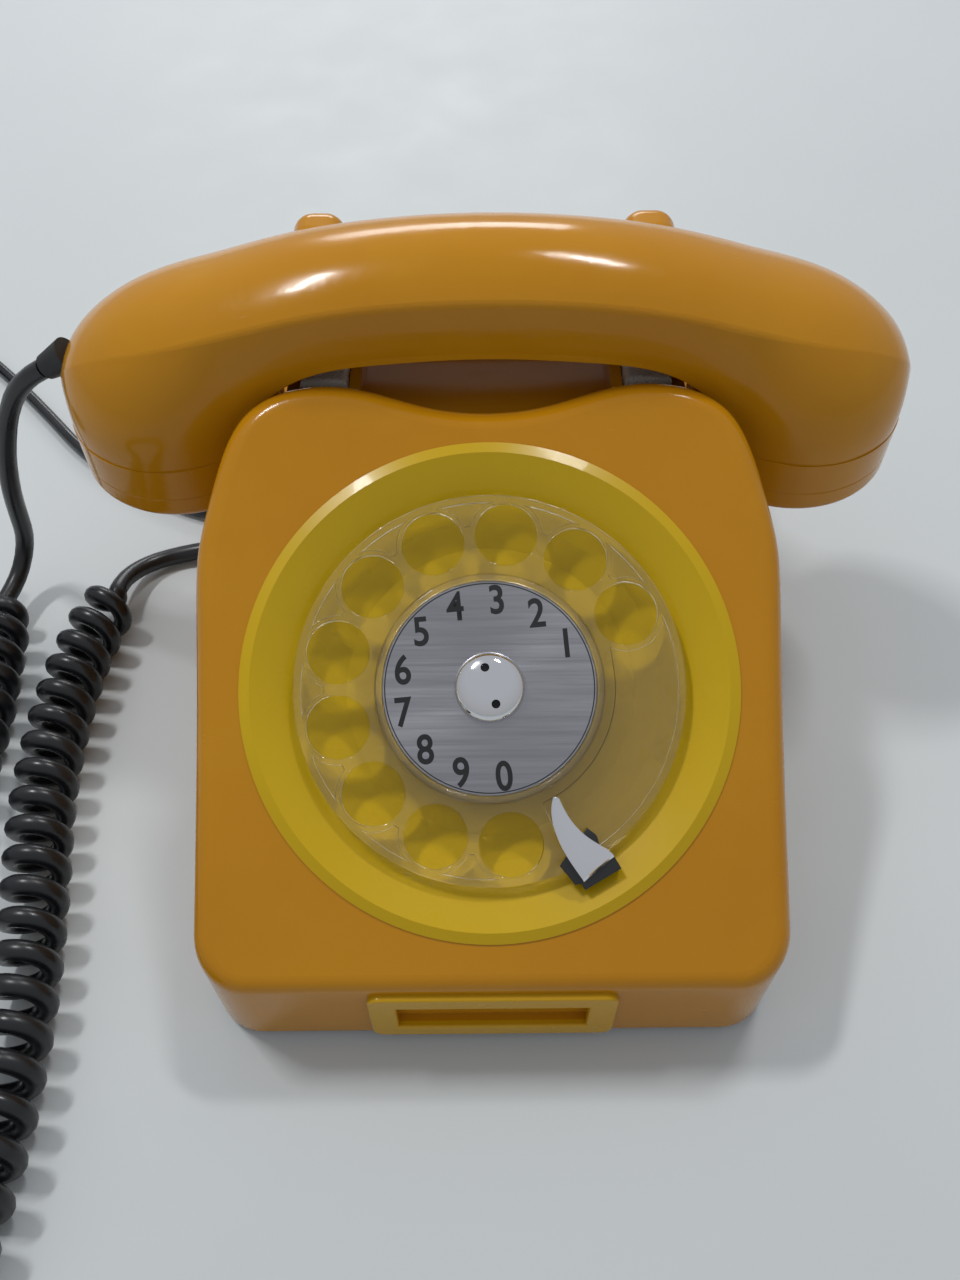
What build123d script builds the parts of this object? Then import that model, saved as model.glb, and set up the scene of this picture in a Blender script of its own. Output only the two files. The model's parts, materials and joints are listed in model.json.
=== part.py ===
"""Rotary desk telephone with a handset across its cradle.  Millimetres, +Z up, +X to the right, -Y to the front.
The origin is on the table, under the middle of the telephone."""

import os
from math import cos, pi, radians, sin, tan

from build123d import *

os.makedirs("parts", exist_ok=True)

# ---- driving dimensions: case ----
case_depth = 190.0
case_half_width = 65.0  # at the front
case_rear_half_width = 62.0
wall = 2.5
foot_height = 3.0
lip_height = 31.0  # where the front face meets the slope
slope = 30.7  # degrees from the table
lip_round = 5.0  # all round the sloping face
front_corner = 12.0
deck_height = 57.0  # lower rear deck under the handset's ends
deck_corner = 16.0
cradle_half_width = 47.5
trough_floor = 84.0
saddle_height = 88.5
saddle_inner = 30.0
rim_height = 99.0
horn_height = 108.0
horn_x = 41.0
horn_width = 13.0
recess_half_width = 36.0
recess_low = 61.0
recess_high = 78.0
recess_depth = 34.0

# ---- driving dimensions: dial ----
bezel_radius = 55.0
bezel_proud = 1.2
dish_depth = 6.0
wheel_radius = 43.0
wheel_thickness = 2.0
hole_circle = 34.3
hole_radius = 7.0
hole_count = 10
hole_spacing = 27.68  # degrees
first_hole = 28.0  # degrees, anticlockwise from the right
stop_angle = -60.0
plate_radius = 23.5
hub_rim_radius = 25.2
dome_radius = 7.7
dome_height = 4.6
plate_thickness = 0.6
shaft_radius = 3.0

# ---- driving dimensions: handset ----
handset_half_length = 104.0
handset_y = 40.75
handset_top = 123.5
grip_under = 98.0
grip_half_depth = 17.0
cap_radius = 26.5
cap_low = 61.0
seam_height = 68.0
bell_wall = 3.0

# ---- driving dimensions: number card holder ----
holder_width = 55.0
holder_low = 4.0
holder_high = 27.0
holder_proud = 1.5
window_width = 42.5
window_height = 12.0
pocket_depth = 1.6  # into the case wall behind the window

# ---- clearances ----
gap = 0.3  # between pieces of different bodies
fit = 0.1  # running fit on a shaft, on the radius

# ---- places worked out from those ----
front_y = -(case_depth - holder_proud) / 2
rear_y = front_y + case_depth
slope_rise = tan(radians(slope))


def slope_z(y):
    """Height of the sloping face above a point y."""
    return lip_height + (y - front_y) * slope_rise


dial_y = front_y + 55.0
dial_plane = Plane(
    origin=(0, dial_y, slope_z(dial_y)),
    x_dir=(1, 0, 0),
    z_dir=(0, -sin(radians(slope)), cos(radians(slope))),
)
dip_y = front_y + 112.5  # middle of the shoulders
peak_y = front_y + 118.0
shoulder_y = front_y + 112.0
flank_y = front_y + 97.0
tower_front = front_y + 104.0
trough_back_y = handset_y + grip_half_depth + 6.0
cap_x = handset_half_length - cap_radius


def save(part, name):
    """Label a finished piece and write it."""
    part.label = name
    export_step(part, f"parts/{name}.step")
    print(f"{name:28s} {part.volume / 1000:9.2f} cm3")


# =====================================================================
# Case
# =====================================================================
def front_outline(inset):
    """Plan of the front body: wide front, shoulders with a dip between them."""
    with BuildSketch() as outline:
        with BuildLine():
            right = [
                (32.6 - inset / 2, peak_y - inset),
                (55.5 - inset, shoulder_y - inset),
                (case_rear_half_width + 0.5 - inset, flank_y),
                (case_half_width - inset, front_y + 30.0),
                (case_half_width - inset, front_y + front_corner),
            ]
            corner = front_corner - inset
            Spline(
                (0, dip_y - inset),
                *right[:4],
                tangents=[(1, 0), (0, -1)],
            )
            Line(right[3], right[4])
            RadiusArc(right[4], (right[4][0] - corner, front_y + inset), corner)
            Line((right[4][0] - corner, front_y + inset), (0, front_y + inset))
            mirror(about=Plane.YZ)
        make_face()
    return outline.sketch


def deck_outline(inset):
    """Plan of the lower body, from front to rear."""
    with BuildSketch() as outline:
        with BuildLine():
            Polyline(
                (0, rear_y - inset),
                (case_rear_half_width - inset, rear_y - inset),
                (case_rear_half_width - inset, flank_y),
                (case_rear_half_width - inset, front_y + 60.0),
                (0, front_y + 60.0),
            )
            mirror(about=Plane.YZ)
        make_face()
        rear = outline.vertices().filter_by(lambda v: v.Y > rear_y - inset - 1 and abs(v.X) > 5)
        fillet(rear, deck_corner - inset)
    return outline.sketch


def case_body(inset, low):
    """The closed outer form of the case, or with an inset its hollow."""
    with BuildPart() as body:
        # front wedge, cut by the slope and rounded all round it
        with BuildSketch(Plane.XY.offset(low)):
            add(front_outline(inset))
        extrude(amount=horn_height)
        with BuildSketch(Plane.YZ):
            with BuildLine():
                Polyline(
                    (front_y - 5, low),
                    (front_y - 5, slope_z(front_y - 5) - inset / cos(radians(slope))),
                    (rear_y, slope_z(rear_y) - inset / cos(radians(slope))),
                    (rear_y, low),
                    close=True,
                )
            make_face()
        extrude(amount=2 * case_half_width, both=True, mode=Mode.INTERSECT)
        slope_normal = Vector(0, -sin(radians(slope)), cos(radians(slope)))
        sloping = body.faces().sort_by(lambda face: face.normal_at().dot(slope_normal))[-1]
        fillet(sloping.edges(), lip_round)
        # lower body to the rear
        with BuildSketch(Plane.XY.offset(low)):
            add(deck_outline(inset))
        extrude(amount=deck_height - low - inset)
        # cradle tower
        half = cradle_half_width - inset
        with BuildSketch(Plane.YZ):
            with BuildLine():
                Polyline(
                    (tower_front, low),
                    (tower_front, trough_floor - inset),
                    (trough_back_y - 6.0, trough_floor - inset),
                    (trough_back_y + inset, rim_height - inset),
                    (rear_y - 22.0 - inset, rim_height - inset),
                    (rear_y - 6.0 - inset, deck_height - inset),
                    (rear_y - 6.0 - inset, low),
                    close=True,
                )
            make_face()
        extrude(amount=half, both=True)
    return body.part


trough_span = trough_back_y - peak_y
horn_y = rear_y - 26.0
post_x = 50.0
post_points = [(x, y) for y in (front_y + 16.0, rear_y - 18.0) for x in (-post_x, post_x)]
post_radius = 4.0
screw_radius = 1.5
base_thickness = 1.5
base_low = foot_height + 0.5
base_top = base_low + base_thickness
plunger_width = 11.0
plunger_depth = 9.0
plunger_y = peak_y + 10.0
plunger_top = grip_under - 6.2
bezel_bore = bezel_radius - 3.0
cord_exit_z = 8.0
cord_exit_y = 55.0
line_exit_y = 67.0
gland_radius = 4.5
line_gland_radius = 4.0

# the hollow inside: posts stay solid up to the roof, and the carrying recess keeps a wall round it
hollow_body = case_body(wall, foot_height - 1.0)
with BuildPart() as hollow:
    add(hollow_body)
    with Locations(*[(x, y, foot_height) for x, y in post_points]):
        Cylinder(
            post_radius,
            horn_height,
            align=(Align.CENTER, Align.CENTER, Align.MIN),
            mode=Mode.SUBTRACT,
        )
    with BuildSketch(Plane.XY.offset(recess_low - wall)):
        with Locations((0, rear_y - recess_depth / 2)):
            Rectangle(2 * (recess_half_width + wall), recess_depth + 2 * wall)
    extrude(amount=trough_floor, mode=Mode.SUBTRACT)
    with BuildSketch(Plane.XY.offset(foot_height - 1.0)):  # room for the base plate's edge
        add(deck_outline(wall))
        add(front_outline(wall))
    extrude(amount=2.0)

with BuildPart() as case_shell:
    add(case_body(0.0, foot_height))
    # raised saddles under the handset's ends, and the two rear horns
    for side in (-1, 1):
        with BuildSketch(Plane.XY.offset(trough_floor - 1.0)):
            with Locations((side * (saddle_inner + cradle_half_width) / 2, peak_y + trough_span / 2)):
                Rectangle(cradle_half_width - saddle_inner, trough_span + 6.0)
        extrude(amount=saddle_height - trough_floor + 1.0)
        with BuildSketch(Plane.XY.offset(rim_height - 1.0)):
            with Locations((side * horn_x, horn_y)):
                RectangleRounded(horn_width, 13.0, 5.0)
        extrude(amount=horn_height - rim_height + 1.0)
        tops = case_shell.faces().filter_by(Axis.Z).group_by(Axis.Z)[-1]
        fillet((tops.sort_by(Axis.X)[0] if side < 0 else tops.sort_by(Axis.X)[-1]).edges(), 4.5)
    # carrying recess, open to the rear
    with BuildSketch(Plane.XY.offset(recess_low)):
        with Locations((0, rear_y - recess_depth / 2 + 5.0)):
            Rectangle(2 * recess_half_width, recess_depth + 10.0)
    extrude(amount=recess_high - recess_low, mode=Mode.SUBTRACT)
    add(hollow.part, mode=Mode.SUBTRACT)
    # opening for the dial
    with BuildSketch(dial_plane.offset(-30.0)):
        Circle(bezel_bore + gap)
    extrude(amount=60.0, mode=Mode.SUBTRACT)
    # slots for the plungers
    with BuildSketch(Plane.XY.offset(trough_floor - 10.0)):
        with Locations((-horn_x + 2.5, plunger_y), (horn_x - 2.5, plunger_y)):
            Rectangle(plunger_width + 2 * gap, plunger_depth + 2 * gap)
    extrude(amount=30.0, mode=Mode.SUBTRACT)
    # pocket behind the card holder's window
    with BuildSketch(Plane(origin=(0, front_y, (holder_low + holder_high) / 2), x_dir=(1, 0, 0), z_dir=(0, 1, 0))):
        Rectangle(window_width, window_height)
    extrude(amount=pocket_depth, mode=Mode.SUBTRACT)
    # screw holes in the posts
    with BuildSketch(Plane.XY.offset(foot_height)):
        with Locations(*post_points):
            Circle(screw_radius)
    extrude(amount=12.0, mode=Mode.SUBTRACT)
save(case_shell.part, "case_shell")

with BuildPart() as base_plate:
    with BuildSketch(Plane.XY.offset(base_low)):
        add(front_outline(wall + gap))
        add(deck_outline(wall + gap))
    extrude(amount=base_thickness)
    with BuildSketch(Plane.XY.offset(base_low)):
        with Locations(*post_points):
            Circle(post_radius + gap)
    extrude(amount=base_thickness, mode=Mode.SUBTRACT)
save(base_plate.part, "base_plate")

foot_x = 46.0
foot_points = [(x, y) for y in (front_y + 34.0, rear_y - 36.0) for x in (-foot_x, foot_x)]
foot_radius = 6.5
with BuildPart() as base_feet:
    with BuildSketch():
        with Locations(*foot_points):
            Circle(foot_radius)
    extrude(amount=base_low)
    fillet(base_feet.faces().filter_by(Axis.Z).group_by(Axis.Z)[0].edges(), 0.8)
save(base_feet.part, "base_feet")

with BuildPart() as case_screws:
    with Locations(*[(x, y, foot_height - 1.6) for x, y in post_points]):
        Cylinder(3.0, 1.6, align=(Align.CENTER, Align.CENTER, Align.MIN))
    with Locations(*[(x, y, foot_height) for x, y in post_points]):
        Cylinder(screw_radius, 10.0, align=(Align.CENTER, Align.CENTER, Align.MIN))
save(case_screws.part, "case_screws")

# =====================================================================
# Number card holder on the front face
# =====================================================================
holder_height = holder_high - holder_low
holder_plane = Plane(origin=(0, front_y, (holder_low + holder_high) / 2), x_dir=(1, 0, 0), z_dir=(0, -1, 0))
with BuildPart() as card_holder:
    with BuildSketch(holder_plane):
        RectangleRounded(holder_width, holder_height, 3.0)
        Rectangle(window_width, window_height, mode=Mode.SUBTRACT)
    extrude(amount=holder_proud)
    front_rim = card_holder.faces().sort_by(Axis.Y)[0].edges()
    fillet(front_rim, 0.6)
save(card_holder.part, "card_holder")

# =====================================================================
# Dial
# =====================================================================
wheel_top = 0.6  # finger wheel's upper face above the sloping face
wheel_low = wheel_top - wheel_thickness
dish_low = -dish_depth
dish_floor_radius = 32.0
frame_high = -13.0
frame_thickness = 1.6
with BuildPart() as dial_bezel:
    with BuildSketch(Plane(dial_plane.origin, x_dir=(1, 0, 0), z_dir=(0, -cos(radians(slope)), -sin(radians(slope))))):
        with BuildLine():
            Polyline(
                (shaft_radius + gap, dish_low),
                (dish_floor_radius, dish_low),
                (38.0, dish_low + 1.3),
                (43.0, dish_low + 2.9),
                (bezel_radius - 2.5, bezel_proud),
                (bezel_radius, 0.3),
                (bezel_radius, 0.0),
                (bezel_bore, 0.0),
                (bezel_bore, dish_low - 1.5),
                (shaft_radius + gap, dish_low - 1.5),
                close=True,
            )
        make_face()
    revolve(axis=Axis(dial_plane.origin, dial_plane.z_dir))
save(dial_bezel.part, "dial_bezel")

hole_angles = [first_hole + hole_spacing * k for k in range(hole_count)]
with BuildPart() as finger_wheel:
    with BuildSketch(dial_plane.offset(wheel_low)):
        Circle(wheel_radius)
        Circle(shaft_radius + 4.0, mode=Mode.SUBTRACT)
        for angle in hole_angles:
            with PolarLocations(hole_circle, 1, start_angle=angle):
                Circle(hole_radius, mode=Mode.SUBTRACT)
    extrude(amount=wheel_thickness)
    with BuildSketch(dial_plane.offset(wheel_top)):
        Circle(hub_rim_radius)
        Circle(plate_radius + 0.1, mode=Mode.SUBTRACT)
    extrude(amount=1.0)
save(finger_wheel.part, "finger_wheel")

with BuildPart() as number_plate:
    with BuildSketch(dial_plane.offset(wheel_top)):
        Circle(plate_radius)
        Circle(shaft_radius, mode=Mode.SUBTRACT)
    extrude(amount=plate_thickness)
save(number_plate.part, "number_plate")

dome_low = wheel_top + plate_thickness
with BuildPart() as hub_dome:
    with BuildSketch(dial_plane.offset(dome_low)):
        Circle(dome_radius)
    extrude(amount=dome_height)
    fillet(hub_dome.faces().filter_by(GeomType.PLANE).sort_by(Axis.Z)[-1].edges(), dome_height - 0.6)
save(hub_dome.part, "hub_dome")

gear_radius = 20.0
gear_low = -19.5
gear_thickness = 2.0
with BuildPart() as dial_shaft:
    with BuildSketch(dial_plane.offset(gear_low - 3.0)):
        Circle(shaft_radius - 0.1)
    extrude(amount=wheel_top - gear_low + 3.0)
    with BuildSketch(dial_plane.offset(dish_low + 0.4)):
        Circle(shaft_radius + 6.0)
        Circle(shaft_radius - 0.1, mode=Mode.SUBTRACT)
    extrude(amount=wheel_low - dish_low - 0.4)
save(dial_shaft.part, "dial_shaft")


def gear_sketch(radius, teeth, bore):
    """A toothed disc with straight-sided teeth."""
    tooth = pi * radius / teeth
    with BuildSketch() as outline:
        Circle(radius - 0.9)
        with PolarLocations(radius - 0.7, teeth):
            Rectangle(1.4, tooth * 0.9)
        Circle(bore, mode=Mode.SUBTRACT)
    return outline.sketch


with BuildPart() as main_gear:
    with BuildSketch(dial_plane.offset(gear_low)):
        add(gear_sketch(gear_radius, 48, shaft_radius - 0.1))
    extrude(amount=gear_thickness)
save(main_gear.part, "main_gear")

pinion_radius = 5.0
pinion_x = -(gear_radius + pinion_radius + 0.5)
axle_radius = 1.0
with BuildPart() as pulse_pinion:
    with BuildSketch(dial_plane.offset(gear_low)):
        with Locations((pinion_x, 0)):
            add(gear_sketch(pinion_radius, 12, axle_radius + fit))
    extrude(amount=gear_thickness)
    with BuildSketch(dial_plane.offset(gear_low + gear_thickness)):
        with Locations((pinion_x, 0)):
            Ellipse(4.2, 3.2)
            Circle(axle_radius + fit, mode=Mode.SUBTRACT)
    extrude(amount=1.6)
save(pulse_pinion.part, "pulse_pinion")

governor_x = gear_radius + pinion_radius + 0.5
with BuildPart() as governor_rotor:
    with BuildSketch(dial_plane.offset(gear_low)):
        with Locations((governor_x, 0)):
            add(gear_sketch(pinion_radius, 12, axle_radius + fit))
    extrude(amount=gear_thickness)
    with BuildSketch(dial_plane.offset(gear_low - 4.0)):
        with Locations((governor_x, 0)):
            Rectangle(13.0, 3.0)
            Circle(2.0)
            Circle(axle_radius + fit, mode=Mode.SUBTRACT)
    extrude(amount=4.0)
save(governor_rotor.part, "governor_rotor")

with BuildPart() as governor_cup:
    with BuildSketch(dial_plane.offset(gear_low - 6.0)):
        with Locations((governor_x, 0)):
            Circle(9.0)
            Circle(axle_radius, mode=Mode.SUBTRACT)
    extrude(amount=1.2)
    with BuildSketch(dial_plane.offset(gear_low - 4.8)):
        with Locations((governor_x, 0)):
            Circle(9.0)
            Circle(7.6, mode=Mode.SUBTRACT)
    extrude(amount=3.8)
save(governor_cup.part, "governor_cup")

with BuildPart() as dial_frame:
    with BuildSketch(dial_plane.offset(frame_high - frame_thickness)):
        Circle(36.0)
        Circle(shaft_radius + fit, mode=Mode.SUBTRACT)
        with Locations((pinion_x, 0), (governor_x, 0)):
            Circle(axle_radius, mode=Mode.SUBTRACT)
    extrude(amount=frame_thickness)
    with BuildSketch(dial_plane.offset(frame_high)):
        with PolarLocations(32.0, 4, start_angle=45.0):
            Circle(2.5)
    extrude(amount=dish_low - 1.5 - frame_high)
save(dial_frame.part, "dial_frame")

with BuildPart() as gear_axles:
    with BuildSketch(dial_plane.offset(gear_low - 6.0)):
        with Locations((pinion_x, 0), (governor_x, 0)):
            Circle(axle_radius)
    extrude(amount=frame_high - gear_low + 6.0)
save(gear_axles.part, "gear_axles")

with BuildPart() as return_spring:
    with BuildSketch(dial_plane.offset(frame_high + 0.6)):
        Circle(12.0)
        Circle(shaft_radius + 1.0, mode=Mode.SUBTRACT)
    extrude(amount=3.2)
save(return_spring.part, "return_spring")

with BuildPart() as pulse_contacts:
    for level in range(3):
        with BuildSketch(dial_plane.offset(gear_low + gear_thickness + 0.4)):
            with Locations((pinion_x - 6.0 - 1.6 * level, 6.0)):
                Rectangle(0.4, 26.0)
        extrude(amount=1.6)
    with BuildSketch(dial_plane.offset(gear_low + gear_thickness + 0.2)):
        with Locations((pinion_x - 7.6, 17.0)):
            Rectangle(6.0, 6.0)
    extrude(amount=2.4)
save(pulse_contacts.part, "pulse_contacts")

# finger stop: a tongue over the wheel on a foot beside it
stop_dir = (cos(radians(stop_angle)), sin(radians(stop_angle)))
stop_plane = Plane(
    origin=dial_plane.from_local_coords((0, 0, 0)),
    x_dir=dial_plane.from_local_coords((stop_dir[0], stop_dir[1], 0)) - dial_plane.origin,
    z_dir=dial_plane.z_dir,
)
stop_low = wheel_top + 1.6
pad_inner = wheel_radius + 1.3
pad_outer = wheel_radius + 4.6
pad_width = 9.0
pad_foot = dish_low + 0.5  # inside the dish's wall, and cut back to its surface
with BuildPart() as stop_pad:
    with BuildSketch(stop_plane.offset(pad_foot)):
        with Locations(((pad_inner + pad_outer) / 2, 0)):
            Rectangle(pad_outer - pad_inner, pad_width)
    extrude(amount=stop_low - pad_foot)
    add(dial_bezel.part, mode=Mode.SUBTRACT)
save(stop_pad.part.solids().sort_by(SortBy.VOLUME)[-1], "stop_pad")

with BuildPart() as finger_stop:
    with BuildSketch(stop_plane.offset(stop_low)):
        with BuildLine():
            tip = (28.0, 1.0)
            ThreePointArc(tip, (36.0, 3.4), (pad_outer, 5.0))
            Line((pad_outer, 5.0), (pad_outer, -4.5))
            ThreePointArc((pad_outer, -4.5), (38.0, -2.2), tip)
        make_face()
    extrude(amount=1.2)
save(finger_stop.part, "finger_stop")

# =====================================================================
# Handset
# =====================================================================
bell_roof = 84.0  # top of the hollow for the capsule
bell_foot = seam_height - 3.0  # the ends are made this low and then cut at the seam
bell_low = 77.0  # below this each end is round
end_inset = 0.35  # of the lofted grip inside the round ends
well_inset = 1.6  # of the round core that the loft covers


def bell_half(x):
    """Half depth of an end at x, so that it is round from above."""
    return (cap_radius**2 - (x - cap_x) ** 2) ** 0.5


# from the middle outwards: x, the ridge's half depth and height, the crest's height,
# the side's half depth and height at its foot, the height of the foot's edge and of the underside
right_sections = [
    (0.0, grip_half_depth, 117.0, handset_top, 17.2, 104.0, 102.5, grip_under),
    (cap_x - 51.5, 17.0, 115.6, 121.9, 17.3, 102.6, 101.0, 96.6),
    (cap_x - 37.5, 17.2, 113.6, 119.6, 17.8, 100.2, 98.6, 95.0),
    (cap_x - 25.5, 17.3, 110.9, 116.6, 19.2, 95.0, 91.5, 88.5),
    (cap_x - 18.5, 17.3, 109.0, 114.5, 20.4, 87.0, 80.0, 77.5),
    (cap_x - 11.5, 17.1, 107.2, 112.4, bell_half(cap_x - 11.5) - end_inset, 82.0, bell_foot + 1.0, bell_foot),
    (cap_x, 16.4, 104.2, 109.0, bell_half(cap_x) - end_inset, 80.0, bell_foot + 1.0, bell_foot),
    (cap_x + 10.5, 13.8, 100.6, 104.6, bell_half(cap_x + 10.5) - end_inset, 79.5, bell_foot + 1.0, bell_foot),
    (cap_x + 17.5, 11.0, 96.9, 99.8, bell_half(cap_x + 17.5) - end_inset, 79.0, bell_foot + 1.0, bell_foot),
    (cap_x + 22.5, 8.0, 92.8, 94.6, bell_half(cap_x + 22.5) - end_inset, 78.5, bell_foot + 1.0, bell_foot),
    (cap_x + 25.7, 3.8, 88.0, 88.8, bell_half(cap_x + 25.7) - end_inset, 78.0, bell_foot + 1.0, bell_foot),
]
left_sections = [(-x, *rest) for x, *rest in reversed(right_sections[1:])]
ridge_round = 2.6
with BuildPart() as handset_body:
    for x, ridge, ridge_z, crest_z, side, side_z, foot_z, under_z in left_sections + right_sections:
        bulge = 0.5 + 0.22 * (side - ridge)
        with BuildSketch(Plane(origin=(x, handset_y, 0), x_dir=(0, 1, 0), z_dir=(1, 0, 0))):
            with BuildLine():
                ThreePointArc((-ridge, ridge_z), (0, crest_z), (ridge, ridge_z))
                ThreePointArc(
                    (ridge, ridge_z), ((ridge + side) / 2 + bulge, (ridge_z + side_z) / 2), (side, side_z)
                )
                Line((side, side_z), (side, foot_z))
                ThreePointArc((side, foot_z), (0, under_z), (-side, foot_z))
                Line((-side, foot_z), (-side, side_z))
                ThreePointArc(
                    (-side, side_z), (-(ridge + side) / 2 - bulge, (ridge_z + side_z) / 2), (-ridge, ridge_z)
                )
            make_face()
            corners = vertices().sort_by(Axis.Y)[-2:]
            fillet(corners, min(ridge_round, 0.4 * ridge))
    loft()
    for x in (-cap_x, cap_x):
        inward = -1.0 if x > 0 else 1.0
        with Locations((x, handset_y, bell_foot)):
            Cylinder(cap_radius, bell_low - bell_foot, align=(Align.CENTER, Align.CENTER, Align.MIN))
        with Locations((x + inward, handset_y, bell_foot)):
            Cylinder(cap_radius - well_inset, bell_roof - bell_foot, align=(Align.CENTER, Align.CENTER, Align.MIN))
        with Locations((x, handset_y, seam_height)):
            Cylinder(
                cap_radius - bell_wall,
                bell_roof - seam_height,
                align=(Align.CENTER, Align.CENTER, Align.MIN),
                mode=Mode.SUBTRACT,
            )
        with Locations((x, handset_y, seam_height)):
            Box(
                3 * cap_radius,
                3 * cap_radius,
                10.0,
                align=(Align.CENTER, Align.CENTER, Align.MAX),
                mode=Mode.SUBTRACT,
            )
save(handset_body.part, "handset_body")


def cap(x, holes, name):
    """A round cap that closes one end of the handset, with its sound holes."""
    with BuildPart() as shell:
        with Locations((x, handset_y, cap_low)):
            Cylinder(cap_radius, seam_height - cap_low, align=(Align.CENTER, Align.CENTER, Align.MIN))
        fillet(shell.faces().sort_by(Axis.Z)[0].edges(), 3.0)
        fillet(shell.faces().sort_by(Axis.Z)[-1].edges(), 0.5)
        with Locations((x, handset_y, cap_low + bell_wall)):
            Cylinder(
                cap_radius - bell_wall,
                seam_height - cap_low,
                align=(Align.CENTER, Align.CENTER, Align.MIN),
                mode=Mode.SUBTRACT,
            )
        with BuildSketch(Plane.XY.offset(cap_low)):
            with Locations((x, handset_y)):
                Circle(1.0)
                with PolarLocations(6.0, holes):
                    Circle(1.0)
                with PolarLocations(11.0, 2 * holes):
                    Circle(1.0)
        extrude(amount=bell_wall, mode=Mode.SUBTRACT)
    save(shell.part, name)


cap(-cap_x, 6, "mouth_cap")
cap(cap_x, 5, "ear_cap")

capsule_radius = cap_radius - bell_wall - 0.6
for x, name in ((-cap_x, "transmitter_capsule"), (cap_x, "receiver_capsule")):
    with BuildPart() as capsule:
        with BuildSketch(Plane(origin=(x, handset_y, cap_low + bell_wall), x_dir=(1, 0, 0), z_dir=(0, -1, 0))):
            Polygon(
                (0, 0),
                (capsule_radius, 0),
                (capsule_radius, 9.0),
                (capsule_radius - 6.0, 18.0),
                (0, 18.0),
                align=None,
            )
        revolve(axis=Axis((x, handset_y, 0), (0, 0, 1)))
    save(capsule.part, name)

# grommet where the cord leaves the handset's left end
lead_radius = 2.6
grommet_dir = Vector(-cos(radians(30.0)), 0, -sin(radians(30.0)))
grommet_root = Vector(-cap_x - 24.0, handset_y + 1.0, 90.5)
grommet_length = 7.5
with BuildPart() as handset_grommet:
    with BuildSketch(Plane(origin=grommet_root, x_dir=(0, 1, 0), z_dir=grommet_dir)):
        Circle(4.4)
    with BuildSketch(Plane(origin=grommet_root + grommet_dir * grommet_length, x_dir=(0, 1, 0), z_dir=grommet_dir)):
        Circle(3.2)
    loft()
    add(handset_body.part, mode=Mode.SUBTRACT)
save(handset_grommet.part.solids().sort_by(SortBy.VOLUME)[-1], "handset_grommet")

# =====================================================================
# Hook switch under the cradle
# =====================================================================
plunger_x = horn_x - 2.5
bridge_z = 60.0
bridge_thickness = 3.0
with BuildPart() as hook_plungers:
    for side in (-1, 1):
        with BuildSketch(Plane.XY.offset(bridge_z + bridge_thickness)):
            with Locations((side * plunger_x, plunger_y)):
                Rectangle(plunger_width, plunger_depth)
        extrude(amount=plunger_top - bridge_z - bridge_thickness)
    fillet(hook_plungers.faces().filter_by(Axis.Z).group_by(Axis.Z)[-1].edges(), 1.2)
save(hook_plungers.part, "hook_plungers")

with BuildPart() as hook_bridge:
    with BuildSketch(Plane.XY.offset(bridge_z)):
        with Locations((0, plunger_y)):
            RectangleRounded(2 * plunger_x + plunger_width, plunger_depth + 2.0, 2.0)
    extrude(amount=bridge_thickness)
save(hook_bridge.part, "hook_bridge")

hook_seat_z = 44.0
with BuildPart() as hook_springs:
    for side in (-1, 1):
        with BuildSketch(Plane.XY.offset(hook_seat_z)):
            with Locations((side * 24.0, plunger_y)):
                Circle(3.6)
                Circle(2.6, mode=Mode.SUBTRACT)
        extrude(amount=bridge_z - hook_seat_z)
save(hook_springs.part, "hook_springs")

with BuildPart() as hook_frame:
    with BuildSketch(Plane.XY.offset(hook_seat_z - 1.6)):
        with Locations((0, plunger_y)):
            Rectangle(70.0, 14.0)
    extrude(amount=1.6)
    for side in (-1, 1):
        with BuildSketch(Plane.XY.offset(base_top)):
            with Locations((side * 34.0, plunger_y)):
                Rectangle(2.0, 14.0)
        extrude(amount=hook_seat_z - base_top)
save(hook_frame.part, "hook_frame")

with BuildPart() as hook_contacts:
    for level in range(4):
        with BuildSketch(Plane.XY.offset(hook_seat_z + 3.0 + 2.4 * level)):
            with Locations((0, plunger_y)):
                Rectangle(22.0, 4.0)
        extrude(amount=0.4)
    with BuildSketch(Plane.XY.offset(hook_seat_z)):
        with Locations((-13.0, plunger_y)):
            Rectangle(5.0, 8.0)
    extrude(amount=12.0)
save(hook_contacts.part, "hook_contacts")

# =====================================================================
# Ringer and circuit on the base plate
# =====================================================================
gong_radius = 22.0
gong_x = 27.0
gong_y = rear_y - 32.0
gong_high = 30.0
gong_low = 16.0
for side, name in ((-1, "gong_left"), (1, "gong_right")):
    centre = (side * gong_x, gong_y, 0)
    with BuildPart() as gong:
        with BuildSketch(Plane(origin=centre, x_dir=(1, 0, 0), z_dir=(0, -1, 0))):
            with BuildLine():
                Line((1.6, gong_high), (8.0, gong_high))
                ThreePointArc((8.0, gong_high), (17.5, gong_high - 4.5), (gong_radius, gong_low))
                Line((gong_radius, gong_low), (gong_radius - 1.3, gong_low))
                ThreePointArc(
                    (gong_radius - 1.3, gong_low), (16.6, gong_high - 5.4), (8.0, gong_high - 1.3)
                )
                Line((8.0, gong_high - 1.3), (1.6, gong_high - 1.3))
                Line((1.6, gong_high - 1.3), (1.6, gong_high))
            make_face()
        revolve(axis=Axis(centre, (0, 0, 1)))
    save(gong.part, name)

with BuildPart() as gong_posts:
    for side in (-1, 1):
        with Locations((side * gong_x, gong_y, base_top)):
            Cylinder(3.5, gong_high - 1.3 - base_top, align=(Align.CENTER, Align.CENTER, Align.MIN))
save(gong_posts.part, "gong_posts")

with BuildPart() as gong_screws:
    for side in (-1, 1):
        with Locations((side * gong_x, gong_y, gong_high)):
            Cylinder(3.4, 1.8, align=(Align.CENTER, Align.CENTER, Align.MIN))
save(gong_screws.part, "gong_screws")

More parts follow.
